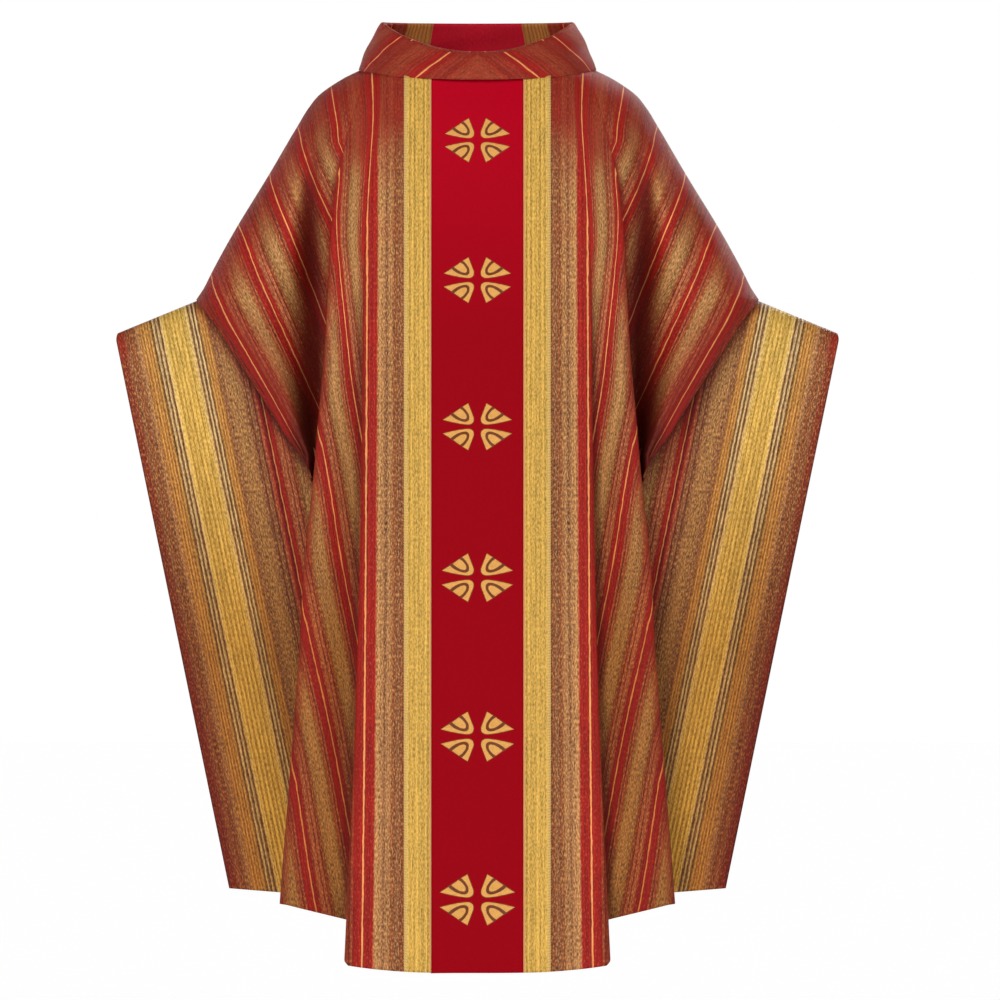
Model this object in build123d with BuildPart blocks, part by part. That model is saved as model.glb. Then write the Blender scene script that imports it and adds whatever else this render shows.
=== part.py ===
from build123d import *
from math import sqrt
import os

# A gothic chasuble with a roll collar, hanging as if it were worn, in millimetres.
# X is to the wearer's left, the front faces -Y and Z is up. The origin is the centre
# of the neck opening, level with the seam that joins the collar to the shoulders.
# Every cloth piece is a plain folded sheet of flat facets, each of them a prism
# along Y, so that neighbouring facets meet face to face.

# ---- driving dimensions ----
front_length = 1257.0  # neck level to the front hem
cloth_thickness = 3.0
satin_thickness = 1.2
galloon_thickness = 1.6
facing_thickness = 1.2
facing_gap = 2.0
embroidery_thickness = 1.2
layer_gap = 0.3  # left between layers that are only sewn along their edges
back_share = 0.93  # depth of the back compared with the front

# neck and shoulders
neck_half_width = 163.0
neck_front = 102.0
shoulder_gap = 5.0  # half the distance between the outsides of front and back
seam_z = 2.0  # the shoulder seam at the neck
neck_front_z = -10.0
neck_back_z = 12.0
shoulder = (220.0, -32.0)  # x, z where the slope turns down the arm
elbow = (388.0, -316.0)
wing_corner = (507.0, -370.0)

# hanging folds, as x and depth from the middle plane
orphrey_half_width = 64.0
galloon_edge = 102.0
chest_z = -230.0
waist_z = -571.0
wing_hem_outer = (347.0, 38.0, -1142.0)
wing_hem_inner = (276.0, 48.0, -1149.0)
pleat_bottom = (215.0, 78.0, -1155.0)  # hidden turn behind the side pleat

# trims
facing_width = 25.0
hem_facing_end = 65.0  # past the centre crease
sleeve_facing_start = 80.0  # below the wing's top corner
sleeve_facing_skew = 6.7  # the facing's inner edge leans towards the elbow
tape_width = 15.0
tape_thickness = 3.4
cross_heights = [-98.0, -293.0, -497.0, -707.0, -928.0, -1155.0]
first_cross_width = 90.0
cross_growth = 2.8  # each motif is this much wider than the one above it

# collar
collar_base = (163.0, 101.0)  # half axes at neck level
collar_taper = (0.338, 0.24)  # what each half axis loses per millimetre of height
collar_centre_y = -4.0
collar_foot_rise = 3.9  # lets the foot clear the neck edge behind and at the sides
collar_foot_drop = 0.6
collar_cloth = 2.0
collar_stiffening = 1.2
neck_tape_height = 12.0

columns = (0.0, orphrey_half_width, galloon_edge)


def neck_row(edge_z):
    """The neck edge, flat across the orphrey and then curving round to the shoulder."""
    row = []
    for x in (*columns, 140.0, 146.0, neck_half_width):
        curve = neck_front * sqrt(1 - (x / neck_half_width) ** 2)
        depth = neck_front if x <= orphrey_half_width else max(curve, shoulder_gap)
        row.append((x, depth, seam_z + (edge_z - seam_z) * depth / neck_front))
    return row


def level_row(z, centre_depth, folds):
    """A row at one height: the flat centre, then the crease and the side pleat."""
    return [(x, centre_depth, z) for x in columns] + [(x, depth, z) for x, depth in folds]


# the folds are both sides of the centre crease and the edge of the side pleat
chest_row = level_row(chest_z, 150.0, [(160.0, 145.0), (166.0, 142.0), (204.0, 125.0)])
waist_row = level_row(waist_z, 158.0, [(165.0, 152.0), (172.0, 148.0), (228.0, 125.0)])
hem_row = [
    (0.0, 165.0, -front_length),
    (orphrey_half_width, 165.0, -front_length + 1.0),
    (galloon_edge, 165.0, -front_length + 3.0),
    (185.0, 160.0, -front_length + 10.0),
    (196.0, 151.0, -front_length + 71.0),
    (283.0, 135.0, -front_length + 94.0),
]


class Half:
    """The front or the back: turns x, depth and height into a point of that half."""

    def __init__(self, name, sign, share, neck_z):
        self.name = name
        self.outward = sign
        self.share = share
        self.rows = [self.spread(neck_row(neck_z)), chest_row, waist_row, hem_row]

    def spread(self, row):
        """The row, kept the same small distance off the middle plane on both halves."""
        return [(x, max(depth, shoulder_gap / self.share), z) for x, depth, z in row]

    def point(self, place, lift=0.0):
        x, depth, z = place
        return (x, self.outward * (depth * self.share + lift), z)

    def edge(self, corner):
        """A point of the shoulder fold, the same small distance off the middle plane."""
        x, z = corner
        return (x, shoulder_gap / self.share, z)


front = Half("front", -1, 1.0, neck_front_z)
back = Half("back", 1, back_share, neck_back_z)


def strip_facets(upper, lower):
    """Two triangles for each step along a pair of rows."""
    facets = []
    for above, next_above, below, next_below in zip(upper, upper[1:], lower, lower[1:]):
        facets.append((above, next_above, below))
        facets.append((next_above, next_below, below))
    return facets


def add_facets(half, facets, lift, thickness):
    """Prisms on the open part: their faces start at lift and grow outwards."""
    for facet in facets:
        corners = [half.point(place, lift) for place in facet]
        extrude(
            Face(Wire.make_polygon(corners)),
            amount=thickness,
            dir=(0, half.outward, 0),
        )


def save(piece, label):
    piece.part.label = label
    export_step(piece.part, f"parts/{label}.step")


def save_both_sides(piece, label):
    """The wearer's left is modelled, and the right is its mirror image."""
    save(piece, f"{label}_left")
    with BuildPart() as other:
        mirror(piece.part, about=Plane.YZ)
    save(other, f"{label}_right")


# ---- body cloth: one quarter from the centre seam to the sleeve opening ----
def cloth_facets(half):
    facets = []
    for upper, lower in zip(half.rows, half.rows[1:]):
        facets += strip_facets(upper, lower)
    neck_side, chest_side, waist_side, hem_side = [row[-1] for row in half.rows]
    arm_top, arm_end, corner = [half.edge(p) for p in (shoulder, elbow, wing_corner)]
    facets += [
        (neck_side, arm_top, chest_side),
        (arm_top, arm_end, chest_side),
        (arm_end, waist_side, chest_side),
        (arm_end, corner, wing_hem_outer),
        (arm_end, wing_hem_outer, wing_hem_inner),
        (arm_end, wing_hem_inner, waist_side),
        (waist_side, wing_hem_inner, pleat_bottom),
        (waist_side, pleat_bottom, hem_side),
    ]
    return facets


def make_cloth(half):
    with BuildPart() as cloth:
        add_facets(half, cloth_facets(half), -cloth_thickness, cloth_thickness)
    save_both_sides(cloth, f"{half.name}_cloth")


# ---- orphrey: the red satin column down the centre ----
def centre_line(half, lift):
    """The centre of the half seen from the side, as y and z."""
    return [half.point(row[0], lift)[1:] for row in half.rows]


def make_orphrey(half):
    inner = centre_line(half, layer_gap)
    outer = centre_line(half, layer_gap + satin_thickness)
    with BuildPart() as orphrey:
        with BuildSketch(Plane.YZ):
            with BuildLine():
                Polyline(*inner, *reversed(outer), close=True)
            make_face()
        extrude(amount=orphrey_half_width, both=True)
    save(orphrey, f"{half.name}_orphrey")


# ---- galloons: the ribbed gold bands that bind the edges of the orphrey ----
def make_galloon(half):
    first = columns.index(orphrey_half_width)
    rows = [row[first : first + 2] for row in half.rows]
    with BuildPart() as galloon:
        for upper, lower in zip(rows, rows[1:]):
            add_facets(half, strip_facets(upper, lower), layer_gap, galloon_thickness)
    save_both_sides(galloon, f"{half.name}_galloon")


# ---- crosses: four embroidered petals, each an outer band round a tongue ----
def petal_outline():
    """The petal above and to the left of the centre, for a motif 90 mm wide."""
    side_tip, top_tip = (-45.0, 9.0), (-11.0, 29.5)
    side_foot, top_foot = (-11.0, 2.5), (-4.5, 11.0)
    with BuildLine() as outline:
        Line(side_tip, top_tip)
        Line(top_tip, top_foot)
        ThreePointArc(top_foot, (-5.0, 4.5), side_foot)
        Line(side_foot, side_tip)
    return outline.line


def tongue_outline(reach):
    """A finger from the slanting edge to the centre, grown all round by reach."""
    side, top = (-33.0 - reach, 16.2), (-21.0, 23.5 + reach)
    side_bend, top_bend = (-20.0, 7.6 - reach), (-13.2 + reach, 15.6)
    tip = (-12.4 + reach, 8.0 - reach)
    outside = (-34.0, 30.0)
    with BuildLine() as outline:
        Line(side, side_bend)
        ThreePointArc(side_bend, tip, top_bend)
        Line(top_bend, top)
        Line(top, outside)
        Line(outside, side)
    return outline.line


def slanted_face(half, height):
    """The plane of the orphrey's outer face at one height of its centre line."""
    line = centre_line(half, layer_gap + satin_thickness)
    top, bottom = next(pair for pair in zip(line, line[1:]) if pair[1][1] <= height)
    slope = (bottom[0] - top[0]) / (bottom[1] - top[1])
    depth = top[0] + slope * (height - top[1])
    normal = (0, half.outward, -half.outward * slope)
    return Plane(origin=(0, depth, height), x_dir=(1, 0, 0), z_dir=normal)


def make_cross(half, number, height):
    groove = 1.4
    size = (first_cross_width + cross_growth * number) / first_cross_width
    petal, tongue, hollow = petal_outline(), tongue_outline(0.0), tongue_outline(groove)
    with BuildPart() as cross:
        with BuildSketch(slanted_face(half, height)):
            make_face(petal)
            make_face(hollow, mode=Mode.SUBTRACT)
            mirror(about=Plane.XZ)
            mirror(about=Plane.YZ)
            scale(by=size)
        extrude(amount=embroidery_thickness)
        with BuildSketch(slanted_face(half, height)):
            make_face(petal)
            make_face(tongue, mode=Mode.INTERSECT)
            mirror(about=Plane.XZ)
            mirror(about=Plane.YZ)
            scale(by=size)
        extrude(amount=embroidery_thickness)
    save(cross, f"{half.name}_cross_{number + 1}")


# ---- collar: outer cloth, stiffening and lining, one inside the other ----
def collar_ellipse(z, inset):
    half_width = collar_base[0] - collar_taper[0] * z - inset
    half_depth = collar_base[1] - collar_taper[1] * z - inset
    with BuildSketch(Plane.XY.offset(z)) as ellipse:
        with Locations((0, collar_centre_y)):
            Ellipse(half_width, half_depth)
    return ellipse.sketch


def collar_side(height=None):
    """The collar seen from the side; height limits it to a band on the neck seam."""
    back_foot = (115.0, neck_back_z + collar_foot_rise)
    front_foot = (-120.0, neck_front_z - collar_foot_drop)
    back_top, front_top = 67.0, 27.0
    if height is not None:
        back_top, front_top = back_foot[1] + height, front_foot[1] + height
    with BuildLine() as outline:
        Line(front_foot, back_foot)
        Line(back_foot, (back_foot[0], back_top))
        if height is None:
            Line((back_foot[0], back_top), (0, back_top))
            ThreePointArc((0, back_top), (-52.0, 50.0), (-94.0, front_top))
            Line((-94.0, front_top), (front_foot[0], front_top))
        else:
            Line((back_foot[0], back_top), (front_foot[0], front_top))
        Line((front_foot[0], front_top), front_foot)
    return outline.line


def make_collar_layer(label, inset, thickness, height=None):
    """A ring that narrows upwards, cut to the collar's side view."""
    low, high = -30.0, 85.0
    outer = [collar_ellipse(z, inset) for z in (low, high)]
    inner = [collar_ellipse(z, inset + thickness) for z in (low, high)]
    side = collar_side(height)
    with BuildPart() as ring:
        loft(outer)
        loft(inner, mode=Mode.SUBTRACT)
        with BuildSketch(Plane.YZ):
            make_face(side)
        extrude(amount=neck_half_width + 20, both=True, mode=Mode.INTERSECT)
    save(ring, label)


def make_collar():
    make_collar_layer("collar_outer", 0.0, collar_cloth)
    make_collar_layer("collar_stiffening", collar_cloth, collar_stiffening)
    inside = collar_cloth + collar_stiffening
    make_collar_layer("collar_lining", inside, collar_cloth)
    make_collar_layer("neck_seam_tape", inside + collar_cloth, 1.0, neck_tape_height)


# ---- tapes and facings that finish the edges, all on the inside ----
def make_shoulder_tape():
    """A stay tape between front and back, under the fold from neck to wing corner."""
    fold = [(neck_half_width + 4, 0.0), shoulder, elbow, wing_corner]
    under = [(x - 4, z - tape_width) for x, z in reversed(fold)]
    with BuildPart() as tape:
        with BuildSketch(Plane.XZ):
            with BuildLine():
                Polyline(*fold, *under, close=True)
            make_face()
        extrude(amount=tape_thickness / 2, both=True)
    save_both_sides(tape, "shoulder_tape")


def towards(start, end, distance):
    """The point this far from start on the way to end."""
    length = sqrt(sum((b - a) ** 2 for a, b in zip(start, end)))
    return tuple(a + (b - a) * distance / length for a, b in zip(start, end))


def mirrored(facets):
    return [tuple((-x, depth, z) for x, depth, z in facet) for facet in facets]


def make_hem_facing(half):
    """Behind the hem, ending before the turn of the side pleat."""
    lower = hem_row[:-1] + [towards(hem_row[-2], hem_row[-1], hem_facing_end)]
    upper = [towards(low, high, facing_width) for low, high in zip(lower, waist_row)]
    facets = strip_facets(upper, lower)
    lift = -cloth_thickness - facing_gap - facing_thickness
    with BuildPart() as facing:
        add_facets(half, facets + mirrored(facets), lift, facing_thickness)
    save(facing, f"{half.name}_hem_facing")


def make_sleeve_facing(half):
    """Along the sleeve opening, in the plane of the outer facet of the wing."""
    arm_end = half.edge(elbow)
    top = towards(half.edge(wing_corner), wing_hem_outer, sleeve_facing_start)
    outer = [top, wing_hem_outer]
    inner = [
        towards(top, arm_end, facing_width),
        towards(wing_hem_outer, arm_end, facing_width * sleeve_facing_skew),
    ]
    lift = -cloth_thickness - layer_gap - facing_thickness
    with BuildPart() as facing:
        add_facets(half, strip_facets(outer, inner), lift, facing_thickness)
    save_both_sides(facing, f"{half.name}_sleeve_facing")


for half in (front, back):
    make_cloth(half)
    make_orphrey(half)
    make_galloon(half)
    make_hem_facing(half)
    make_sleeve_facing(half)
    for number, height in enumerate(cross_heights):
        make_cross(half, number, height)
make_collar()
make_shoulder_tape()
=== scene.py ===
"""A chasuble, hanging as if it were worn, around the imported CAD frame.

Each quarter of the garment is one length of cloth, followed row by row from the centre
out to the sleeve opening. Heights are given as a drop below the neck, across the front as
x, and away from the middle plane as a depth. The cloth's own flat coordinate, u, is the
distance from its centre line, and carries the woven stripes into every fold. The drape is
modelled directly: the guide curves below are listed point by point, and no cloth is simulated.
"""

import math
from functools import partial

import bmesh
import bpy
import numpy as np
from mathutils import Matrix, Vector


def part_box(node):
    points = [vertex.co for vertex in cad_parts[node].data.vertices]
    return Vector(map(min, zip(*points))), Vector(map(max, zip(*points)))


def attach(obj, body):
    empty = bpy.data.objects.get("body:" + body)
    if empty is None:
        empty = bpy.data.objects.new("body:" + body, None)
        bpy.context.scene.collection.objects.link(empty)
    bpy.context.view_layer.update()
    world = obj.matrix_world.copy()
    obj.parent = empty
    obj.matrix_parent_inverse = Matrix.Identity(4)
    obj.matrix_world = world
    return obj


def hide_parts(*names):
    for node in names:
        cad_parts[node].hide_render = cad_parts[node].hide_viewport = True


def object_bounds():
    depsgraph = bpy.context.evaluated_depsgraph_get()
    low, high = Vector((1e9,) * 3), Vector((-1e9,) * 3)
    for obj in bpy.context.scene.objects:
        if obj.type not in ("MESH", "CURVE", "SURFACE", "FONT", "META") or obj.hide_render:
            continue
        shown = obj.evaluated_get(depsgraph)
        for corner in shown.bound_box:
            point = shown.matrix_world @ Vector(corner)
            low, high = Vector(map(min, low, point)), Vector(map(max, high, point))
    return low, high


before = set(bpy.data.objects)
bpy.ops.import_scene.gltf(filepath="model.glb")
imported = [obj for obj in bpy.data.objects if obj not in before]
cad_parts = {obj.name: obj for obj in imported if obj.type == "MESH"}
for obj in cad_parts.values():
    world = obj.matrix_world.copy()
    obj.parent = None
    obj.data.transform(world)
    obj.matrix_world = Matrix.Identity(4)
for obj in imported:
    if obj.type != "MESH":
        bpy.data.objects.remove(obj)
cad_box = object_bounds()
MM = 0.001

# ---- places taken from the frame, in metres ----
SATIN_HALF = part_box("front_orphrey")[1][0]
GALLOON_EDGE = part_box("front_galloon_left")[1][0]
CENTRE_HEM = -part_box("front_orphrey")[0][2]
FRONT_NECK = -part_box("front_orphrey")[1][2]
BACK_NECK = -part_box("back_orphrey")[1][2]
WING_X = cad_box[1][0]
COLLAR_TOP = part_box("collar_outer")[1][2]
NECK_HALF = 0.163
NECK_SIDE = -0.002  # drop of the shoulder seam at the neck
SHOULDER = (0.220, 0.032)  # x and drop, as for the next ones
ELBOW = (0.392, 0.321)
WING_TOP_DROP = 0.368
WING_HEM = (0.347, 1.142)
BACK_SHARE = 0.93  # depth of the back, as a share of the front's

# ---- the woven repeat ----
FIRST_LINE = 0.153  # u of the first thin orange line
REPEAT = 0.080
HALF_CLOTH = 0.823  # u of the sleeve edge
LAST_LINE = HALF_CLOTH - 0.191

CLOTH = 0.0011  # thickness
STRIP_PITCH = 0.0062  # of the ribs in a gold band
BEAD_PITCH = 0.0038


# ---- small helpers
def smooth(t):
    t = np.clip(t, 0.0, 1.0)
    return t * t * (3 - 2 * t)


def mix(a, b, t):
    return a + (b - a) * t


def steps_to_one(count):
    return [(i + 1) / count for i in range(count)]


def guide(*points):
    """A smooth curve through a few given (drop, value) points in millimetres."""
    xs, ys = (np.array(p, float) * MM for p in zip(*points))
    slopes = np.gradient(ys, xs)

    def value(d):
        d = np.clip(d, xs[0], xs[-1])
        i = np.clip(np.searchsorted(xs, d) - 1, 0, len(xs) - 2)
        span = xs[i + 1] - xs[i]
        t = (d - xs[i]) / span
        rise = ys[i] * (1 + 2 * t) * (1 - t) ** 2 + ys[i + 1] * t * t * (3 - 2 * t)
        return rise + span * (slopes[i] * t * (1 - t) ** 2 - slopes[i + 1] * t * t * (1 - t))

    return value


# ---- the hanging shape
# The shoulder slope and the arm line, down to the elbow.
outline_x = guide(
    (-2, 163), (8, 184), (17, 199), (32, 220), (50, 235), (76, 251), (144, 291), (228, 342),
    (285, 373), (303, 382), (321, 394),
)
crease_x = guide(
    (-12, 118), (150, 147), (245, 156.6), (300, 157.6), (547, 160), (880, 168), (1257, 185),
)
pleat_x = guide(
    (-12, 150), (80, 176), (143, 193), (214, 202), (304, 207), (375, 211), (501, 222),
    (571, 228), (680, 240), (784, 246), (924, 256), (1166, 275), (1257, 281),
)
sleeve_edge_x = guide((321, 392), (340, 376), (400, 336), (500, 272), (571, 228), (620, 222))
centre_depth = guide(
    (-15, 99), (10, 103), (60, 121), (140, 139), (230, 149), (400, 153), (571, 156),
    (900, 160), (1257, 163),
)
front_spread = guide((321, 392), (400, 396), (571, 405), (900, 425), (1257, 450))
sleeve_spread = guide((321, 392), (332, 396), (351, 399), (400, 379), (463, 357), (571, 316), (620, 306))
pleat_hidden = guide(
    (100, 0), (143, 27), (214, 80), (291, 109), (351, 126), (463, 174), (571, 225),
    (640, 257), (784, 254), (1166, 246),
)
pleat_u = guide(
    (-12, 155), (25, 172), (80, 205), (143, 233), (214, 235), (291, 248), (351, 264),
    (463, 289), (525, 313), (599, 340), (778, 394), (1004, 477), (1166, 520), (1257, 545),
)
outer_u = guide(
    (-2, 165), (21, 236), (76, 313), (143, 393), (214, 473), (284, 553), (321, 583),
    (351, 575), (463, 564), (571, 553), (620, 553),
)
valley_away = guide((100, 44), (150, 39), (361, 20), (571, 14))
valley_width = guide((100, 14), (150, 17), (361, 32), (571, 34))
EASE_STEPS = np.linspace(-1, 1, 11)
SLEEVE_END = 0.574  # drop of the point where the sleeve's fold runs in under the side pleat
PLEAT_CROSSING = 0.571  # drop where the sleeve's edge and the side pleat's cross
HOLLOW_END = 0.60  # drop where the hollow beside the side pleat has run out
GUIDES_END = 0.62  # drop where the sleeve's guides end
CREASE_START = 0.245
CREASE_GROWTH = 0.27


def wing_line_x(d):
    """The sleeve's straight edge."""
    lean = (WING_X - WING_HEM[0]) / (WING_HEM[1] - WING_TOP_DROP)
    return WING_X - lean * (d - WING_TOP_DROP)


def wing_edge_x(d):
    """The sleeve's edge, with its rounded upper corner."""
    return wing_line_x(d) - 0.003 * np.clip(1 - (d - WING_TOP_DROP) / 0.010, 0, 1.4) ** 2


def crease_hidden(d):
    return np.maximum(CREASE_GROWTH * (d - CREASE_START), 0)


def crease_radius(d):
    return 0.005 * smooth(crease_hidden(d) / 0.07)


def pleat_radius(d):
    return 0.0085 * smooth((d - 0.10) / 0.20)


def sleeve_radius(d):
    return 0.006 * smooth((d - ELBOW[1]) / 0.06) * smooth((SLEEVE_END - d) / 0.09)


def barrel(x, d, spread):
    """Depth of an oval cross-section, which closes where x reaches the spread."""
    return centre_depth(d) * np.sqrt(np.clip(1 - np.abs(x / spread) ** 2.2, 0, 1))


def below_elbow(line, d):
    """The line below the elbow, and the arm line above it."""
    return np.where(d < ELBOW[1], outline_x(d), line(d))


def ripple(u, d):
    """Soft folds along the cloth, deeper towards the hem."""
    grow = smooth((d - 0.25) / 0.9)
    broad = np.sin(2 * np.pi * u / 0.155 + 1.2 * np.sin(3.0 * d))
    fine = 0.5 * np.sin(2 * np.pi * u / 0.083 + 2)
    return 0.0028 * grow * (broad + fine)


def panel_depth(x, d):
    """The centre panel."""
    calm = smooth((x - GALLOON_EDGE) / 0.04)
    return barrel(x, d, below_elbow(front_spread, d)) + calm * ripple(x, d)


def crease_step(d):
    return 2.6 * crease_radius(d) + 0.020 * smooth(crease_hidden(d) / 0.14)


def side_depth(x, d):
    """The piece between the centre crease and the side pleat."""
    near = (x - crease_x(d)) / np.maximum(pleat_x(d) - crease_x(d), 0.01)
    back = crease_step(d) * (1 - 0.8 * smooth(near / 0.8))
    return barrel(x, d, below_elbow(front_spread, d)) - back + ripple(x + 0.03, d)


def in_valley(x, d):
    """1 in the fold that runs down beside the side pleat, 0 away from it."""
    off = np.abs(x - pleat_x(d) - valley_away(d)) / valley_width(d)
    return smooth(1.15 - off) * smooth((d - 0.05) / 0.12)


def sleeve_depth(x, d):
    """The cloth that falls from the arm."""
    inner, outer = pleat_x(d), below_elbow(sleeve_edge_x, d)
    away = np.clip((x - inner) / np.maximum(outer - inner, 0.02), -1, 1)
    hollow = 0.072 * smooth((d - 0.09) / 0.25) * smooth((HOLLOW_END - d) / 0.12)
    back = 2.6 * pleat_radius(d) * (1 - 0.8 * smooth(away)) + hollow * (1 - smooth(away / 0.6))
    fold = 0.006 * np.sin(2 * np.pi * (away * 1.6 + 0.9 * d / ELBOW[1]))
    fold *= smooth((d - 0.08) / 0.15) * smooth((1 - away) * 3) * smooth(away * 3 + 0.2)
    valley = 0.011 * in_valley(x, d) * smooth((0.50 - d) / 0.2)
    return barrel(x, d, below_elbow(sleeve_spread, d)) - back + fold - valley


def wing_top(x):
    """Drop of the wing's upper edge."""
    slope = (WING_TOP_DROP - ELBOW[1]) / (WING_X - ELBOW[0])
    return ELBOW[1] + slope * (x - ELBOW[0])


def wing_depth(x, d):
    below = np.clip((d - wing_top(x)) * 0.9 / 0.030, 0, 1)
    rounded = np.sqrt(np.clip(1 - (1 - below) ** 2, 0, 1))
    flat = 0.013 + 0.17 * (wing_line_x(d) - x) + 0.014 * (d - WING_TOP_DROP)
    wave = 0.003 * np.sin(2 * np.pi * x / 0.17 + 2.2 * d) * smooth((d - 0.42) / 0.3)
    return np.maximum(flat, 0.004) * rounded + wave


# ---- columns of the cloth
HEM_RISE = 0.010  # of the centre panel's hem, from its middle to the crease
PANEL_HEM = CENTRE_HEM - HEM_RISE


def centre_u(x, d):
    return x * FIRST_LINE / (FIRST_LINE + 0.008 * (d / CENTRE_HEM) ** 2)


class Column:
    """One line of the cloth, from the neck to the hem: gives x, depth and u for a drop."""

    def __init__(self, place, hem):
        self.place = place
        self.hem = hem


def columns_at(shares, place, hem):
    """One column for each share of the way across; place takes (d, share) and hem takes share."""
    return [Column(partial(place, share=share), hem(share)) for share in shares]


def panel_columns(count):
    """From the centre line to the roll of the crease."""

    def place(d, share):
        x = share * (crease_x(d) - crease_radius(d))
        return x, panel_depth(x, d), centre_u(x, d)

    return columns_at(np.linspace(0, 1, count), place, lambda share: CENTRE_HEM - HEM_RISE * share**3)


class Pleat:
    """A fold: round its edge, back under it, round the hidden turn, and out again.

    These are its stages 0 to 3. edge, radius, hidden, u_before and u_after are functions of
    the drop; depth and next_depth are surfaces, of x and the drop, before and after it.
    """

    def __init__(self, edge, radius, hidden, depth, next_depth, u_before, u_after, hems):
        self.edge, self.radius, self.hidden = edge, radius, hidden
        self.depth, self.next_depth = depth, next_depth
        self.u_before, self.u_after = u_before, u_after
        self.hems = hems

    def column(self, stage, t):
        def place(d):
            r = self.radius(d)
            turn = 0.3 * r
            under = np.maximum(self.hidden(d) / 2 - 2 * r, 0)
            x0 = self.edge(d) - r
            top = self.depth(x0, d)
            low = top - 2 * r
            lengths = [math.pi * r, under, math.pi * turn, under + r]
            if stage == 0:
                x, depth = x0 + r * math.sin(math.pi * t), top - r * (1 - math.cos(math.pi * t))
            elif stage == 1:
                x, depth = x0 - under * t, low
            elif stage == 2:
                x = x0 - under - turn * math.sin(math.pi * t)
                depth = low - turn * (1 - math.cos(math.pi * t))
            else:
                x = x0 - under + (under + r) * t
                depth = mix(low - 2 * turn, self.next_depth(self.edge(d), d), t)
            done = sum(lengths[:stage]) + lengths[stage] * t
            share = done / np.maximum(sum(lengths), 1e-6)
            return x, depth, mix(self.u_before(d), self.u_after(d), share)

        hem = mix(self.hems[0], self.hems[1], (stage + t) / 4)
        return Column(place, hem)

    def columns(self, counts, stages=(0, 1, 2, 3)):
        return [self.column(stage, t) for stage in stages for t in steps_to_one(counts[stage])]


SIDE_HEMS = (1.184, 1.163)
LEVEL_HEM = 1.184  # every column has the same rows, up to halfway down to this hem
INNER_HEM = 1.150


def crease_u_before(d):
    return centre_u(crease_x(d) - crease_radius(d), d)


def crease_u_after(d):
    return centre_u(crease_x(d), d) + crease_hidden(d)


def sleeve_u(d):
    return pleat_u(d) + pleat_hidden(d)


crease = Pleat(
    crease_x, crease_radius, crease_hidden, panel_depth, side_depth,
    crease_u_before, crease_u_after, (PANEL_HEM, SIDE_HEMS[0]),
)
side_pleat = Pleat(
    pleat_x, pleat_radius, pleat_hidden, side_depth, sleeve_depth,
    pleat_u, sleeve_u, (SIDE_HEMS[1], INNER_HEM),
)


def side_columns(count):
    """From the centre crease to the roll of the side pleat."""

    def place(d, share):
        x = mix(crease_x(d), pleat_x(d) - pleat_radius(d), share)
        return x, side_depth(x, d), mix(crease_u_after(d), pleat_u(d), share)

    return columns_at(steps_to_one(count), place, lambda share: mix(*SIDE_HEMS, share))


def sleeve_outer(d):
    """Where the sleeve ends: the arm line, or below the elbow the roll of the lower fold."""
    return below_elbow(lambda low: sleeve_edge_x(low) - sleeve_radius(low), d)


def eased(line, d, reach):
    """A line's mean over a reach of drops, so that a corner in it fades away."""
    reach = np.minimum(reach, np.maximum(np.minimum(0.9 * (d - NECK_SIDE), GUIDES_END - d), 0))
    return sum(line(d + reach * step) for step in EASE_STEPS) / len(EASE_STEPS)


def sleeve_columns(count):
    """From the side pleat to the arm line, or below the elbow to the lower fold."""

    def place(d, share):
        reach = 0.13 * (1 - share) ** 0.6
        x = mix(pleat_x(d), eased(sleeve_outer, d, reach), share)
        return x, sleeve_depth(x, d), mix(sleeve_u(d), eased(outer_u, d, reach), share)

    shares = [math.sin(math.pi / 2 * step) for step in steps_to_one(count)]
    return columns_at(shares, place, lambda share: INNER_HEM)


def under_sleeve(d):
    """Cloth hidden behind the sleeve's lower fold."""
    return 0.08 * smooth((d - ELBOW[1]) / 0.03) * smooth((SLEEVE_END - d) / 0.12)


def no_further(x, d):
    return sleeve_depth(x, d) - 2 * sleeve_radius(d)


def sleeve_u_after(d):
    return outer_u(d) + under_sleeve(d) / 2


sleeve_fold = Pleat(
    lambda d: sleeve_outer(d) + sleeve_radius(d), sleeve_radius, under_sleeve, sleeve_depth,
    no_further, outer_u, sleeve_u_after, (INNER_HEM, INNER_HEM),
)


# ---- painted shade: where the red base weave is painted in
# Painted shade: in folds and along turned edges, where the metal thread would catch no light, the cloth is
# painted in the red of its base weave, and the deepest folds are painted darker. The three functions below
# give the share of that painted red, and how much painted darkening is laid on. Both are set by place, not
# by light.
def near(gap, width):
    return smooth(1 - np.abs(gap) / width)


# Painted shade on the inner grid: red painted along the crease and the side pleat, and a painted shadow
# just outside the crease.
def panel_painted_shade(x, d):
    crease_part = 0.6 * near(x - crease_x(d), 0.013) * smooth((d - 0.02) / 0.1)
    pleat_part = 0.8 * near(x - pleat_x(d), 0.016) * smooth((d - 0.05) / 0.12)
    behind = 0.5 * smooth((crease_x(d) + 0.016 - x) / 0.010) * (x > crease_x(d))
    behind = behind * smooth((d - 0.25) / 0.1)
    return np.maximum(crease_part, pleat_part), behind


# Painted shade on the sleeve: red painted near the arm line, beside the side pleat and in the valley by
# it, with painted darkening in that valley and along the arm's edge.
def sleeve_painted_shade(x, d):
    to_edge = (sleeve_outer(d) - x) / mix(0.034, 0.070, smooth(d / 0.1))
    arm = 0.92 * smooth(1.1 - to_edge)
    beside = near(x - pleat_x(d), 0.010)
    valley = in_valley(x, d)
    shade = np.maximum(valley * smooth((d - 0.08) / 0.12), 0.3 * smooth(1.0 - 1.6 * to_edge))
    return np.maximum(np.maximum(arm, valley), beside), shade


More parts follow.
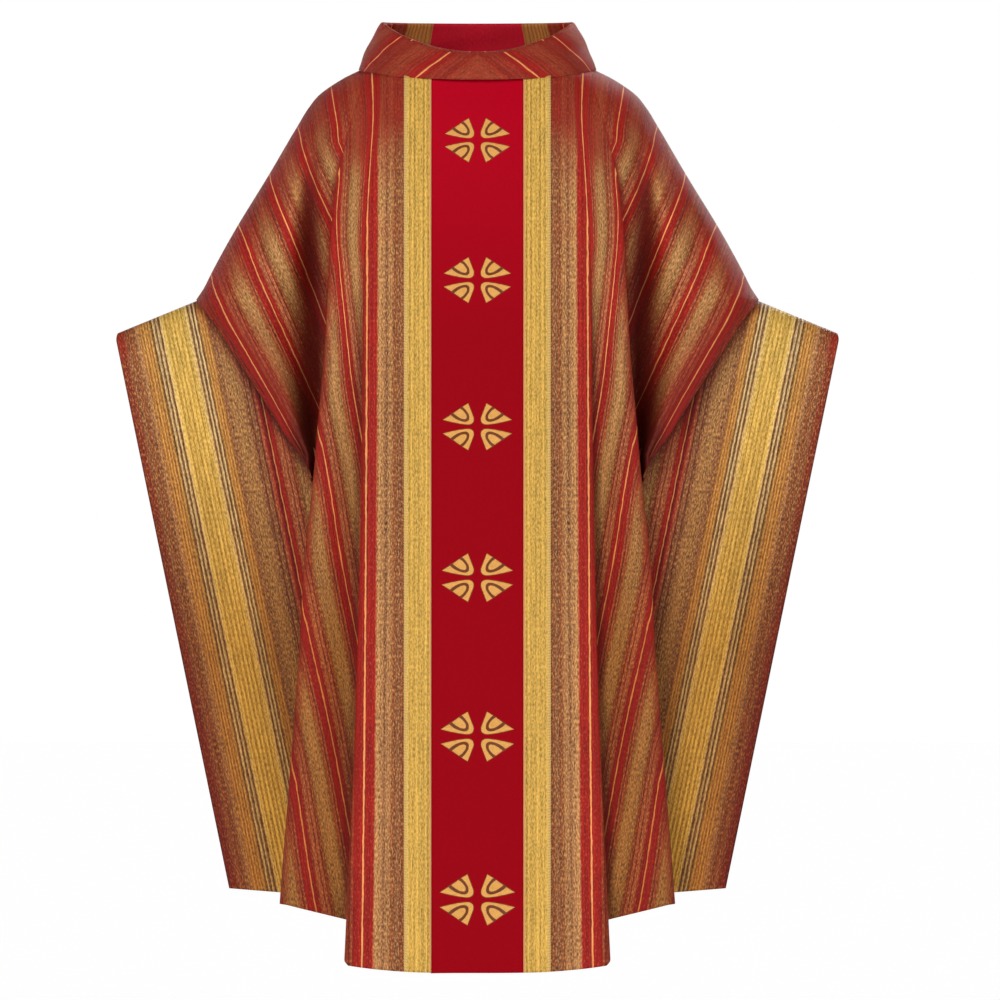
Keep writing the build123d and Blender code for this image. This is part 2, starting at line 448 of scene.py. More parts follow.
# Painted shade on the wing: red painted under the sleeve's fold, at the upper corner and along the lower
# part of the outer edge, with a painted shadow under the fold.
def wing_painted_shade(x, d):
    fold = 0.7 * near(x - sleeve_edge_x(d), 0.022) * smooth((HOLLOW_END - d) / 0.03)
    corner = 0.7 * near(wing_line_x(d) - x, 0.030) * smooth((WING_TOP_DROP + 0.05 - d) / 0.04)
    edge = 0.5 * near(wing_line_x(d) - x, 0.036) * smooth((d - 0.65) / 0.3)
    shade = near(x - sleeve_edge_x(d), 0.016) * smooth((HOLLOW_END - d) / 0.03)
    return np.maximum(np.maximum(fold, corner), edge), shade


def with_painted_shade(grid, painted_shade):
    """A grid of x, depth, drop and u, with the painted shade's two values, the share of painted red and
    the painted darkening, as two more layers.
    """
    share, shade = painted_shade(grid[0], grid[2])
    return np.concatenate([grid, share[None], shade[None]])


# ---- from columns to meshes
def neck_drop(x, edge):
    """Drop of the neck seam, edge at the centre and the shoulder's own at the side."""
    round_ = np.sqrt(np.clip(1 - (x / NECK_HALF) ** 2, 0, 1))
    return NECK_SIDE + (edge - NECK_SIDE) * round_


def rows_of(columns, shares, edge):
    """Arrays of x, depth, drop and u, one row per share of the way down."""
    layers = []
    for column in columns:
        x_top = float(column.place(np.array([0.0]))[0][0])
        start = float(neck_drop(min(x_top, NECK_HALF), edge))
        d = start + (LEVEL_HEM - start) * shares
        d = d + (column.hem - LEVEL_HEM) * smooth((shares - 0.5) / 0.5)
        x, depth, u = (np.broadcast_to(a, d.shape) for a in column.place(d))
        layers.append(np.stack([x, depth, d, u]))
    return np.stack(layers, axis=2)


class Half:
    """The front or the back half, on the wearer's left or right."""

    def __init__(self, name, side):
        self.name, self.side = name, side
        self.front = name == "front"
        self.x_sign = 1 if side == "left" else -1
        self.y_sign = -1 if self.front else 1
        self.share = 1.0 if self.front else BACK_SHARE
        self.neck = FRONT_NECK if self.front else BACK_NECK
        self.flip = self.front == (side == "left")

    def label(self, what):
        return f"{self.name}_{what}_{self.side}"

    def points(self, x, depth, d):
        y = self.y_sign * self.share * depth
        return np.stack([self.x_sign * x, y, -d], axis=-1).reshape(-1, 3)


def grid_faces(rows, cols, start=0):
    i, j = np.meshgrid(np.arange(rows - 1), np.arange(cols - 1), indexing="ij")
    a = (start + i * cols + j).ravel()
    return np.stack([a, a + cols, a + cols + 1, a + 1], axis=1)


def build_mesh(name, grids, half, thickness=CLOTH):
    """One object from grids of x, depth, drop, u and, for some, the painted shade's share of painted red
    and its painted darkening.
    """
    points, faces, flat, painted_shade = [], [], [], []
    start = 0
    for grid in grids:
        x, depth, d, u = grid[:4]
        points.append(half.points(x, depth, d))
        faces.append(grid_faces(*x.shape, start))
        flat.append(np.stack([u, d], axis=-1).reshape(-1, 2))
        share, shade = grid[4:] if len(grid) > 4 else np.zeros((2, *x.shape))
        painted_shade.append(np.stack([share, shade], axis=-1).reshape(-1, 2))
        start += x.size
    points, faces, flat, painted_shade = map(np.concatenate, (points, faces, flat, painted_shade))
    if half.flip:
        faces = faces[:, ::-1]
    return mesh_object(name, points, faces, flat, thickness, painted_shade=painted_shade)


def link(name, mesh):
    piece = bpy.data.objects.new(name, mesh)
    bpy.context.scene.collection.objects.link(piece)
    return piece


def mesh_object(name, points, faces, flat, thickness=0.0, merge=0.00004, painted_shade=None):
    """A piece of cloth; flat gives its cloth UV layer, and the second UV layer carries the painted shade,
    with one pair for each point.
    """
    mesh = bpy.data.meshes.new(name)
    mesh.from_pydata(points.tolist(), [], faces.tolist())
    corners = np.array([loop.vertex_index for loop in mesh.loops])
    for layer_name, values in (("cloth", flat), ("painted_shade", painted_shade)):
        if values is not None:
            layer = mesh.uv_layers.new(name=layer_name)
            layer.data.foreach_set("uv", values[corners].ravel())
    work = bmesh.new()
    work.from_mesh(mesh)
    bmesh.ops.remove_doubles(work, verts=work.verts, dist=merge)
    bmesh.ops.dissolve_degenerate(work, dist=merge, edges=work.edges)
    work.to_mesh(mesh)
    work.free()
    mesh.shade_smooth()
    piece = link(name, mesh)
    if thickness:
        solid = piece.modifiers.new("thickness", "SOLIDIFY")
        solid.thickness = thickness
        solid.offset = -1
    return piece


# ---- node helpers
class Nodes:
    """Short names for the nodes that the materials use."""

    def __init__(self, name):
        self.material = bpy.data.materials.new(name)
        self.material.use_nodes = True
        self.tree = self.material.node_tree
        self.shader = self.tree.nodes["Principled BSDF"]

    def put(self, socket, value):
        if isinstance(value, bpy.types.NodeSocket):
            self.tree.links.new(value, socket)
        else:
            socket.default_value = value

    def math(self, operation, a, b=0.0):
        node = self.tree.nodes.new("ShaderNodeMath")
        node.operation = operation
        self.put(node.inputs[0], a)
        self.put(node.inputs[1], b)
        return node.outputs[0]

    def times(self, a, b):
        return self.math("MULTIPLY", a, b)

    def plus(self, a, b):
        return self.math("ADD", a, b)

    def wave(self, value, pitch):
        """A sine from -1 to 1, once per pitch."""
        return self.math("SINE", self.times(value, 2 * math.pi / pitch))

    def split(self, vector):
        node = self.tree.nodes.new("ShaderNodeSeparateXYZ")
        self.put(node.inputs[0], vector)
        return node.outputs

    def uv(self, layer="cloth"):
        node = self.tree.nodes.new("ShaderNodeUVMap")
        node.uv_map = layer
        return self.split(node.outputs[0])[:2]

    def vector(self, x, y, z=0.0):
        node = self.tree.nodes.new("ShaderNodeCombineXYZ")
        for socket, value in zip(node.inputs, (x, y, z)):
            self.put(socket, value)
        return node.outputs[0]

    def noise(self, u, v, across, along, shift=0.0, detail=2.0):
        """Noise with its own number of cells per metre across and along the cloth."""
        x = self.math("MULTIPLY_ADD", u, across)
        self.put(x.node.inputs[2], shift)
        node = self.tree.nodes.new("ShaderNodeTexNoise")
        self.put(node.inputs["Vector"], self.vector(x, self.times(v, along)))
        node.inputs["Scale"].default_value = 1.0
        node.inputs["Detail"].default_value = detail
        node.inputs["Roughness"].default_value = 0.5
        return node.outputs["Fac"]

    def spread_noise(self, low, high, *cells, margin=0.3, **options):
        """That noise, from margin to 1 - margin, spread between low and high."""
        return self.remap(self.noise(*cells, **options), margin, 1 - margin, low, high)

    def ramp(self, factor, stops):
        """stops are (place, colour) from 0 to 1; a colour is sRGB, 0 to 255."""
        node = self.tree.nodes.new("ShaderNodeValToRGB")
        ramp = node.color_ramp
        while len(ramp.elements) < len(stops):
            ramp.elements.new(0.5)
        for element, (place, colour) in zip(ramp.elements, stops):
            element.position = place
            element.color = linear(colour)
        self.put(node.inputs[0], factor)
        return node.outputs[0]

    def mix(self, factor, a, b, blend="MIX"):
        node = self.tree.nodes.new("ShaderNodeMix")
        node.data_type, node.blend_type = "RGBA", blend
        node.clamp_factor = True
        self.put(node.inputs[0], factor)
        self.put(node.inputs[6], a)
        self.put(node.inputs[7], b)
        return node.outputs[2]

    def remap(self, value, low, high, new_low=0.0, new_high=1.0):
        node = self.tree.nodes.new("ShaderNodeMapRange")
        self.put(node.inputs[0], value)
        for socket, number in zip(node.inputs[1:5], (low, high, new_low, new_high)):
            socket.default_value = number
        return node.outputs[0]

    def brightness(self, colour, factor):
        """Multiplies a colour by a grey of that value."""
        return self.mix(1.0, colour, self.vector(factor, factor, factor), "MULTIPLY")

    def bump(self, height, strength, distance):
        node = self.tree.nodes.new("ShaderNodeBump")
        node.inputs["Strength"].default_value = strength
        node.inputs["Distance"].default_value = distance
        self.put(node.inputs["Height"], height)
        self.put(self.shader.inputs["Normal"], node.outputs[0])

    def set(self, **values):
        names = {name.lower().replace(" ", "_"): name for name in self.shader.inputs.keys()}
        for key, value in values.items():
            self.put(self.shader.inputs[names[key]], value)


def linear(colour):
    """sRGB numbers from 0 to 255 as a linear colour, with alpha as it comes or 1."""
    parts = [c / 255 for c in colour[:3]]
    light = [((c + 0.055) / 1.055) ** 2.4 if c > 0.04 else c / 12.92 for c in parts]
    return light + [colour[3] if len(colour) > 3 else 1.0]


def weave(nodes, u, v, pitch):
    """Height of a plain weave: over and under in turn, one thread per pitch."""
    return nodes.times(nodes.wave(u, pitch), nodes.wave(v, pitch))


# ---- materials
# Colours are sRGB from 0 to 255; the last number is the share of metal thread in the yarn.
LINE = (240, 146, 84, 0.1)
BRIGHT_RED = (170, 26, 18, 0.15)
RED = (146, 20, 15, 0.2)
DEEP_RED = (98, 12, 10, 0.1)
PINK = (174, 46, 34, 0.4)
SALMON = (176, 92, 58, 0.9)
RUST = (152, 64, 34, 0.7)
DARK_RUST = (122, 46, 24, 0.7)
BROWN = (140, 74, 38, 0.9)
OLIVE = (170, 120, 68, 1.0)
TAN = (182, 126, 76, 1.0)
UMBER = (140, 88, 54, 1.0)
PALE_GOLD = (220, 182, 112, 0.6)
CREAM = (224, 192, 136, 0.7)
DARK_LINE = (110, 68, 30, 0.5)
ORANGE = (204, 152, 76, 0.6)
AMBER = (162, 100, 42, 0.6)
# The red painted where the metal thread lies in painted shade.
SHADED_BASE_RED = (146, 24, 16)

REPEAT_STOPS = [
    (0, LINE), (0.7, LINE), (1.3, DEEP_RED), (2.6, BRIGHT_RED), (5, RED), (9, BRIGHT_RED),
    (12.5, RED), (14, SALMON), (16, RUST), (17.4, DEEP_RED), (19, SALMON), (22, RUST),
    (27, OLIVE), (35, TAN), (45, OLIVE), (52, BROWN), (54.6, RUST), (56, DEEP_RED),
    (57.6, SALMON), (61, SALMON), (62.4, DEEP_RED), (64, SALMON), (68, SALMON), (70.5, RUST),
    (73, RED), (76.5, BRIGHT_RED), (78.4, DEEP_RED), (79.1, LINE), (80, LINE),
]
CENTRE_STOPS = [
    (0, BROWN), (5, UMBER), (12, BROWN), (18, TAN), (24, UMBER), (29, TAN), (35, TAN),
    (37, PINK), (38.4, RED), (40, BRIGHT_RED), (43.6, RED), (47.5, BRIGHT_RED), (49, DEEP_RED),
    (50.2, LINE), (51, LINE),
]
# From the last orange line out to the gold core, and from the sleeve's edge in to it.
INNER_WING_STOPS = [
    (0, LINE), (0.8, LINE), (1.6, DEEP_RED), (6, RED), (10, SALMON), (13, DEEP_RED), (15, UMBER),
    (19.5, UMBER), (21, DEEP_RED), (22.5, UMBER), (38, OLIVE), (54, UMBER),
]
OUTER_WING_STOPS = [
    (0, DEEP_RED), (2.5, DARK_RUST), (9, DARK_RUST), (16, UMBER), (21, BROWN), (27, UMBER),
    (34.5, TAN),
]


def line_group(start, pitch, count, dark, light):
    """Fine woven lines, each a dark thread and a broader light one."""
    stops = []
    for i in range(count):
        place = start + i * pitch
        stops += [(place, dark), (place + 0.25 * pitch, dark), (place + 0.55 * pitch, light)]
    return stops


def up_to_core(stops, orange, dark):
    """The stops, two groups of fine lines and the pale edge of the gold core."""
    stops = stops + line_group(*orange, AMBER, ORANGE) + line_group(*dark, DARK_LINE, CREAM)
    return stops[:-1] + [(stops[-1][0], PALE_GOLD)]


OUTER_WING_STOPS = up_to_core(OUTER_WING_STOPS, (35.5, 4.2, 4), (53.5, 5.8, 3))
INNER_WING_STOPS = up_to_core(INNER_WING_STOPS, (56.0, 4.0, 3), (68.5, 5.4, 3))
CORE_START, CORE_WIDTH = 0.0705, 0.035
OUTER_WING_SPAN = CORE_START / MM
INNER_WING_SPAN = (HALF_CLOTH - CORE_START - CORE_WIDTH - LAST_LINE) / MM


def spans(stops, length):
    """Stops in millimetres as shares of a length."""
    return [(place / length, colour) for place, colour in stops if place <= length]


class Yarn:
    """A colour and the share of metal thread, carried together."""

    def __init__(self, nodes, colour, lurex):
        self.nodes, self.colour, self.lurex = nodes, colour, lurex

    def where(self, mask, other):
        nodes = self.nodes
        colour = nodes.mix(mask, self.colour, other.colour)
        share = nodes.times(mask, nodes.math("SUBTRACT", other.lurex, self.lurex))
        return Yarn(nodes, colour, nodes.plus(self.lurex, share))


def yarn_ramp(nodes, factor, stops, length):
    colour = nodes.ramp(factor, spans(stops, length))
    return Yarn(nodes, colour, colour.node.outputs["Alpha"])


def ribbed_gold(nodes, u, dark=(178, 132, 48), light=(224, 184, 92)):
    ribs = nodes.remap(nodes.wave(u, STRIP_PITCH), -1.0, 0.7)
    return Yarn(nodes, nodes.mix(ribs, linear(dark), linear(light)), 0.55)


def striped_yarn(nodes, u, v):
    """The woven stripes across the whole cloth."""
    u = nodes.plus(u, nodes.spread_noise(-0.0007, 0.0007, u, v, 300.0, 60.0, margin=0.25))
    repeats = nodes.math("DIVIDE", nodes.math("SUBTRACT", u, FIRST_LINE), REPEAT)
    yarn = yarn_ramp(nodes, nodes.math("FRACT", repeats), REPEAT_STOPS, REPEAT / MM)
    centre = nodes.remap(u, GALLOON_EDGE, FIRST_LINE)
    in_centre = nodes.math("LESS_THAN", u, FIRST_LINE)
    yarn = yarn.where(in_centre, yarn_ramp(nodes, centre, CENTRE_STOPS, 51.0))
    from_line = nodes.remap(u, LAST_LINE, LAST_LINE + INNER_WING_SPAN * MM)
    in_wing = nodes.math("GREATER_THAN", u, LAST_LINE)
    yarn = yarn.where(in_wing, yarn_ramp(nodes, from_line, INNER_WING_STOPS, INNER_WING_SPAN))
    core_end = HALF_CLOTH - CORE_START
    in_core = nodes.math("GREATER_THAN", u, core_end - CORE_WIDTH)
    yarn = yarn.where(in_core, ribbed_gold(nodes, nodes.math("SUBTRACT", core_end, u)))
    from_edge = nodes.remap(u, HALF_CLOTH, core_end)
    outside = nodes.math("GREATER_THAN", u, core_end)
    return yarn.where(outside, yarn_ramp(nodes, from_edge, OUTER_WING_STOPS, OUTER_WING_SPAN))


def lining_yarn(nodes, u, v):
    """The red and gold column at the back of the neck, and stripes beyond it."""
    yarn = striped_yarn(nodes, u, v)
    yarn = yarn.where(nodes.math("LESS_THAN", u, GALLOON_EDGE + 0.009), ribbed_gold(nodes, u))
    return yarn.where(nodes.math("LESS_THAN", u, SATIN_HALF), Yarn(nodes, linear((190, 2, 34)), 0.0))


def speckled(nodes, yarn, u, v):
    """Adds the glitter of metal thread and the slubs of the yarn."""
    fleck = nodes.spread_noise(-1.0, 1.0, u, v, 560.0, 210.0, shift=5.0, margin=0.34)
    streak = nodes.spread_noise(-1.0, 1.0, u, v, 400.0, 26.0)
    warp = nodes.spread_noise(-1.0, 1.0, u, v, 330.0, 1.2, shift=3.0, margin=0.32)
    depth = nodes.plus(0.10, nodes.times(yarn.lurex, 0.42))
    light = nodes.plus(1.0, nodes.times(fleck, depth))
    strength = nodes.remap(yarn.lurex, 0.0, 0.1, 0.02, 0.20)
    lines = nodes.times(nodes.plus(streak, warp), strength)
    light = nodes.plus(light, lines)
    colour = nodes.brightness(yarn.colour, light)
    glint = nodes.times(nodes.remap(fleck, 0.25, 1.0), yarn.lurex)
    colour = nodes.mix(nodes.times(glint, 0.5), colour, linear((226, 176, 104)))
    return colour, glint, nodes.plus(fleck, streak)


def painted_shade_share(nodes, u, v):
    """Painted shade: how much painted red covers the metal thread, in folds and up at the shoulders, in
    soft patches.
    """
    patch = nodes.spread_noise(-0.05, 0.05, u, v, 14.0, 10.0, shift=9.0, detail=1.0)
    shoulder = nodes.remap(nodes.plus(v, patch), 0.20, 0.06, 0.0, 0.86)
    uneven = nodes.spread_noise(0.75, 1.15, u, v, 420.0, 26.0, shift=4.0)
    folded = nodes.times(nodes.uv("painted_shade")[0], uneven)
    return nodes.math("MINIMUM", nodes.math("MAXIMUM", shoulder, folded), 0.96)


def paint_shade_on_lurex(nodes, yarn, u, v):
    """Painted shade on the yarn: where the metal thread would catch no light it is painted red, with less
    glitter, and darkened where the painted shade is deepest.
    """
    share = painted_shade_share(nodes, u, v)
    metal = nodes.remap(yarn.lurex, 0.1, 0.7)
    colour = nodes.mix(nodes.times(share, metal), yarn.colour, linear(SHADED_BASE_RED))
    # Painted darkening from the second layer, down to 0.42.
    colour = nodes.brightness(colour, nodes.remap(nodes.uv("painted_shade")[1], 0.0, 1.0, 1.0, 0.42))
    bright = nodes.math("SUBTRACT", 1.0, share)
    return Yarn(nodes, colour, nodes.times(yarn.lurex, bright))


def painted_lower_shade(nodes, colour, u, v):
    """Painted shade: away from the flat centre panel, the lower cloth is painted darker and warmer, as
    where less light reaches the lower folds.
    """
    outside = nodes.remap(u, FIRST_LINE, FIRST_LINE + 0.02)
    low = nodes.times(nodes.remap(v, 0.40, 0.80), outside)
    return nodes.mix(low, colour, (0.75, 0.59, 0.38, 1), "MULTIPLY")


def striped_cloth(name, yarn_of=striped_yarn):
    nodes = Nodes(name)
    u, v = nodes.uv()
    # Painted shade in folds, at the shoulders and lower down.
    yarn = paint_shade_on_lurex(nodes, yarn_of(nodes, u, v), u, v)
    colour, glint, grain = speckled(nodes, yarn, u, v)
    colour = painted_lower_shade(nodes, colour, u, v)
    colour = nodes.brightness(colour, nodes.spread_noise(0.86, 1.12, u, v, 9.0, 3.0, shift=2.0))
    nodes.set(
        base_color=colour,
        metallic=nodes.times(glint, 0.5),
        roughness=nodes.remap(yarn.lurex, 0.0, 1.0, 0.62, 0.5),
        sheen_weight=0.03,
        sheen_roughness=0.4,
        sheen_tint=linear((220, 110, 70)),
        specular_ior_level=0.2,
    )
    height = nodes.plus(weave(nodes, u, v, 0.0017), grain)
    nodes.bump(height, 0.4, 0.0006)
    return nodes.material


def gold_band():
    """Ribs along the band; u runs from the satin's edge and v down the band."""
    nodes = Nodes("gold_band")
    u, v = nodes.uv()
    width = GALLOON_EDGE - SATIN_HALF
    yarn = ribbed_gold(nodes, u, (194, 148, 58), (216, 172, 80))
    colour, glint, grain = speckled(nodes, yarn, u, v)
    edge = nodes.remap(u, 0.0028, 0.0018)
    colour = nodes.mix(edge, colour, linear((222, 158, 100)))
    rim = nodes.remap(u, width - 0.0050, width - 0.0042)
    rows = nodes.remap(nodes.wave(v, BEAD_PITCH), -1, 1)
    beads = nodes.mix(rows, linear((206, 164, 88)), linear((226, 190, 118)))
    colour = nodes.mix(nodes.times(rim, 0.8), colour, beads)
    nodes.set(base_color=colour, metallic=nodes.times(glint, 0.6), roughness=0.46, specular_ior_level=0.25)
    ribs = nodes.times(nodes.wave(u, STRIP_PITCH), 0.8)
    height = nodes.plus(ribs, grain)
    nodes.bump(nodes.plus(height, weave(nodes, u, v, 0.0016)), 0.45, 0.0006)
    return nodes.material


def red_satin():
    nodes = Nodes("red_satin")
    u, v = nodes.uv()
    fade = nodes.remap(v, 0.04, 0.3 * CENTRE_HEM)
    colour = nodes.mix(fade, linear((174, 0, 28)), linear((146, 2, 17)))
    colour = nodes.brightness(colour, nodes.spread_noise(0.92, 1.08, u, v, 220.0, 1300.0))
    tint = linear((255, 120, 120))
    nodes.set(base_color=colour, roughness=0.55, specular_ior_level=0.16, specular_tint=tint)
    slub = nodes.noise(u, v, 60.0, 900.0, shift=3.0)
    nodes.bump(nodes.plus(slub, weave(nodes, u, v, 0.0011)), 0.2, 0.0004)
    return nodes.material


def embroidery(name, colour, shade):
    """Close stitches: v runs along the thread and u across the rows of stitches."""
    nodes = Nodes(name)
    u, v = nodes.uv()
    rows = nodes.wave(u, 0.0011)
    tone = nodes.mix(nodes.remap(rows, -1.0, 0.6), linear(shade), linear(colour))
    tone = nodes.brightness(tone, nodes.spread_noise(0.86, 1.12, u, v, 900.0, 160.0))
    nodes.set(base_color=tone, metallic=0.1, roughness=0.42, specular_ior_level=0.35)
    nodes.bump(rows, 0.5, 0.0003)
    return nodes.material


def plain_cloth(name, colour):
    nodes = Nodes(name)
    coords = nodes.tree.nodes.new("ShaderNodeTexCoord")
    u, _, v = nodes.split(coords.outputs["Object"])
    tone = nodes.brightness(linear(colour), nodes.spread_noise(0.8, 1.2, u, v, 700.0, 700.0))
    nodes.set(base_color=tone, roughness=0.8, sheen_weight=0.1, specular_ior_level=0.15)
    nodes.bump(weave(nodes, u, v, 0.0014), 0.3, 0.0003)
    return nodes.material


stripes = striped_cloth("striped_lurex")
lining_stripes = striped_cloth("collar_lining", lining_yarn)
gold = gold_band()
satin = red_satin()
thread = embroidery("gold_thread", (238, 178, 92), (206, 138, 58))
# Brown thread, whose patch also paints a thin shadow round each petal.
dark_thread = embroidery("dark_thread", (122, 58, 12), (92, 38, 8))
bead_thread = embroidery("bead_thread", (222, 184, 110), (200, 156, 80))
tape = plain_cloth("lining_tape", (96, 16, 18))
stiffening = plain_cloth("stiffening", (214, 206, 186))


def finish_piece(piece, material, slot, *nodes):
    piece.data.materials.append(material)
    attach(piece, "root")
    if nodes:
        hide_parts(*nodes)
    return piece


# ---- body cloth
ROWS = 230
SHARES = np.linspace(0, 1, ROWS)


def body_grids(half):
    inner = [
        *panel_columns(32),
        *crease.columns((6, 5, 4, 5)),
        *side_columns(20),
        *side_pleat.columns((9, 7, 5, 0), stages=(0, 1, 2)),
    ]
    last = inner[-1]
    outer = [
        last,
        *side_pleat.columns((0, 0, 0, 8), stages=(3,)),
        *sleeve_columns(44),
        *sleeve_fold.columns((7, 5, 0, 0), stages=(0, 1)),
    ]
    for column in outer[1:]:
        column.hem = last.hem
    upper = SHARES[SHARES * LEVEL_HEM < SLEEVE_END]
    # Both grids carry the painted shade as two more layers.
    inner_grid = with_painted_shade(rows_of(inner, SHARES, half.neck), panel_painted_shade)
    return [inner_grid, with_painted_shade(rows_of(outer, upper, half.neck), sleeve_painted_shade)]


def make_body(half):
    piece = build_mesh(half.label("body"), body_grids(half), half)
    return finish_piece(piece, stripes, "striped_lurex", half.label("cloth"))


WING_COLUMNS = 46
WING_ROWS = 150


def wing_inner_x(d):
    """The hidden edge of the wing, under the sleeve and then under the side pleat."""
    drops = [ELBOW[1], 0.34, 0.50, PLEAT_CROSSING, 0.65, 1.16]
    under = np.interp(d, drops, [0.015, 0.020, 0.021, 0.032, 0.075, 0.08])
    return np.where(d < PLEAT_CROSSING, sleeve_edge_x(d), pleat_x(d)) - under


def wing_grid():
    c = np.linspace(0, 1, WING_COLUMNS)[None, :]
    q = np.linspace(0, 1, WING_ROWS)[:, None] ** 1.25
    top_x = mix(ELBOW[0] - 0.012, WING_X, c)
    top = wing_top(top_x)
    hem = mix(INNER_HEM + 0.004, WING_HEM[1], c)
    d = top + (hem - top) * q
    x = mix(wing_inner_x(d), wing_edge_x(d), c)
    x = mix(np.broadcast_to(top_x, d.shape), x, smooth(q / 0.06))
    x = np.minimum(x, wing_edge_x(d))
    u = HALF_CLOTH - (wing_line_x(d) - x) / 0.983
    depth = wing_depth(x, d)
    # The wing's painted shade as two more layers.
    return with_painted_shade(np.stack([x, depth, d, u]), wing_painted_shade)


def make_wing(half):
    piece = build_mesh(half.label("wing"), [wing_grid()], half)
    return finish_piece(piece, stripes, "striped_lurex", half.label("cloth"))


# ---- strips on the centre panel
def centre_hem(x):
    """Drop of the hem on the centre panel."""
    return CENTRE_HEM - HEM_RISE * (x / crease_x(CENTRE_HEM)) ** 3


def strip_grid(half, low, high, lift, columns):
    """A strip that lies on the panel between two distances from the centre."""
    x = np.linspace(low, high, columns)[None, :]
    start = neck_drop(x, half.neck)
    d = start + (centre_hem(x) - start) * SHARES[:, None]
    x = np.broadcast_to(x, d.shape)
    depth = panel_depth(np.abs(x), d) + lift / half.share
    return np.stack([x, depth, d, x - low])


def make_orphrey(half):
    reach = SATIN_HALF + 0.001
    grid = strip_grid(half, -reach, reach, 0.0012, 40)
    piece = build_mesh(f"{half.name}_orphrey_satin", [grid], half, 0.0009)
    return finish_piece(piece, satin, "red_satin", f"{half.name}_orphrey")


def make_galloon(half):
    grid = strip_grid(half, SATIN_HALF, GALLOON_EDGE, 0.0026, 14)
    piece = build_mesh(half.label("gold_band"), [grid], half, 0.0013)
    return finish_piece(piece, gold, "gold_band", half.label("galloon"))


def bead(radius, length):
    """Points and faces of one small oval bead of thread, along Z."""
    points, faces = [], []
    rings, sides = 4, 6
    for i in range(rings + 1):
        lat = math.pi * i / rings
        for j in range(sides):
            lon = 2 * math.pi * j / sides
            flat = radius * math.sin(lat)
            points.append((flat * math.cos(lon), flat * math.sin(lon), length * math.cos(lat)))
    for i in range(rings):
        for j in range(sides):
            a, b = i * sides + j, i * sides + (j + 1) % sides
            faces.append((a, b, b + sides, a + sides))
    return np.array(points), np.array(faces)


def make_beading(half):
    """The picot edge of a galloon: one row of small thread beads."""
    x = GALLOON_EDGE - 0.0002
    shape, faces = bead(0.0011, 0.0017)
    start, end = float(neck_drop(x, half.neck)) + 0.004, float(centre_hem(x)) - 0.003
    points, all_faces, flat = [], [], []
    for i, d in enumerate(np.arange(start, end, BEAD_PITCH)):
        depth = float(panel_depth(x, d)) + 0.0016
        centre = half.points(x, depth, d)[0]
        points.append(shape + centre)
        all_faces.append(faces + i * len(shape))
        flat.append(shape[:, [2, 0]] + [d, 0])
    piece = mesh_object(
        half.label("picot_edge"),
        np.concatenate(points), np.concatenate(all_faces), np.concatenate(flat), merge=0.00001,
    )
    return finish_piece(piece, bead_thread, "gold_band")


# ---- embroidered crosses
def arc(start, middle, end, count):
    """Points on a smooth curve through three, without its first point."""
    t = np.linspace(0, 1, count + 1)[1:, None]
    start, middle, end = (np.array(p, float) for p in (start, middle, end))
    control = 2 * middle - (start + end) / 2
    return ((1 - t) ** 2 * start + 2 * t * (1 - t) * control + t * t * end).tolist()


def run(start, end, count):
    t = np.linspace(0, 1, count + 1)[1:, None]
    return (np.array(start) + (np.array(end) - np.array(start)) * t).tolist()


# One petal, up and outwards from the cross's centre, in millimetres.
SIDE_TIP, TOP_TIP = (45.0, 9.0), (12.0, 30.6)
SIDE_FOOT, TOP_FOOT = (13.5, 2.8), (4.9, 12.0)
GROOVE = 3.4  # between the petal's outer band and its tongue


def inner_sides():
    """The petal's outline from its top tip, round its foot, to its side tip."""
    points = run(TOP_TIP, TOP_FOOT, 6)
    points += arc(TOP_FOOT, (6.2, 5.0), SIDE_FOOT, 8)
    return points + arc(SIDE_FOOT, (28.0, 5.0), SIDE_TIP, 8)


def petal_points():
    return run(SIDE_TIP, TOP_TIP, 10) + inner_sides()


def tongue_points(grow):
    """The tongue inside the petal, grown by so much on every side but its outer one."""
    side, top = (31.4 + grow, 17.6 - 0.7 * grow), (22.8 - grow, 23.8 + 0.7 * grow)
    bend_side, bend_top = (21.0, 10.6 - grow), (14.6 - grow, 15.8)
    tip = (14.8 - 0.8 * grow, 10.4 - 0.8 * grow)
    points = run(top, side, 6)
    points += arc(side, (26.5 + 0.5 * grow, 13.6 - grow), bend_side, 4)
    points += arc(bend_side, tip, bend_top, 8)
    return points + arc(bend_top, (18.4 - grow, 20.6 + 0.3 * grow), top, 4)


def band_points():
    """The outer band of a petal: the petal less the hollow round its tongue."""
    hollow = tongue_points(GROOVE)
    side, top = hollow[5], hollow[-1]
    points = [top] + run(top, TOP_TIP, 4) + inner_sides() + run(SIDE_TIP, side, 4)
    return points + hollow[6:-1]


def inset(points, distance):
    """The closed outline moved inwards, away from its own outside."""
    p = np.array(points)
    before, after = np.roll(p, 1, 0), np.roll(p, -1, 0)
    edge = after - before
    edge /= np.maximum(np.linalg.norm(edge, axis=1, keepdims=True), 1e-9)
    area = 0.5 * np.sum(p[:, 0] * np.roll(p[:, 1], -1) - np.roll(p[:, 0], -1) * p[:, 1])
    turn = 1 if area > 0 else -1
    return p + distance * turn * np.stack([-edge[:, 1], edge[:, 0]], axis=1)


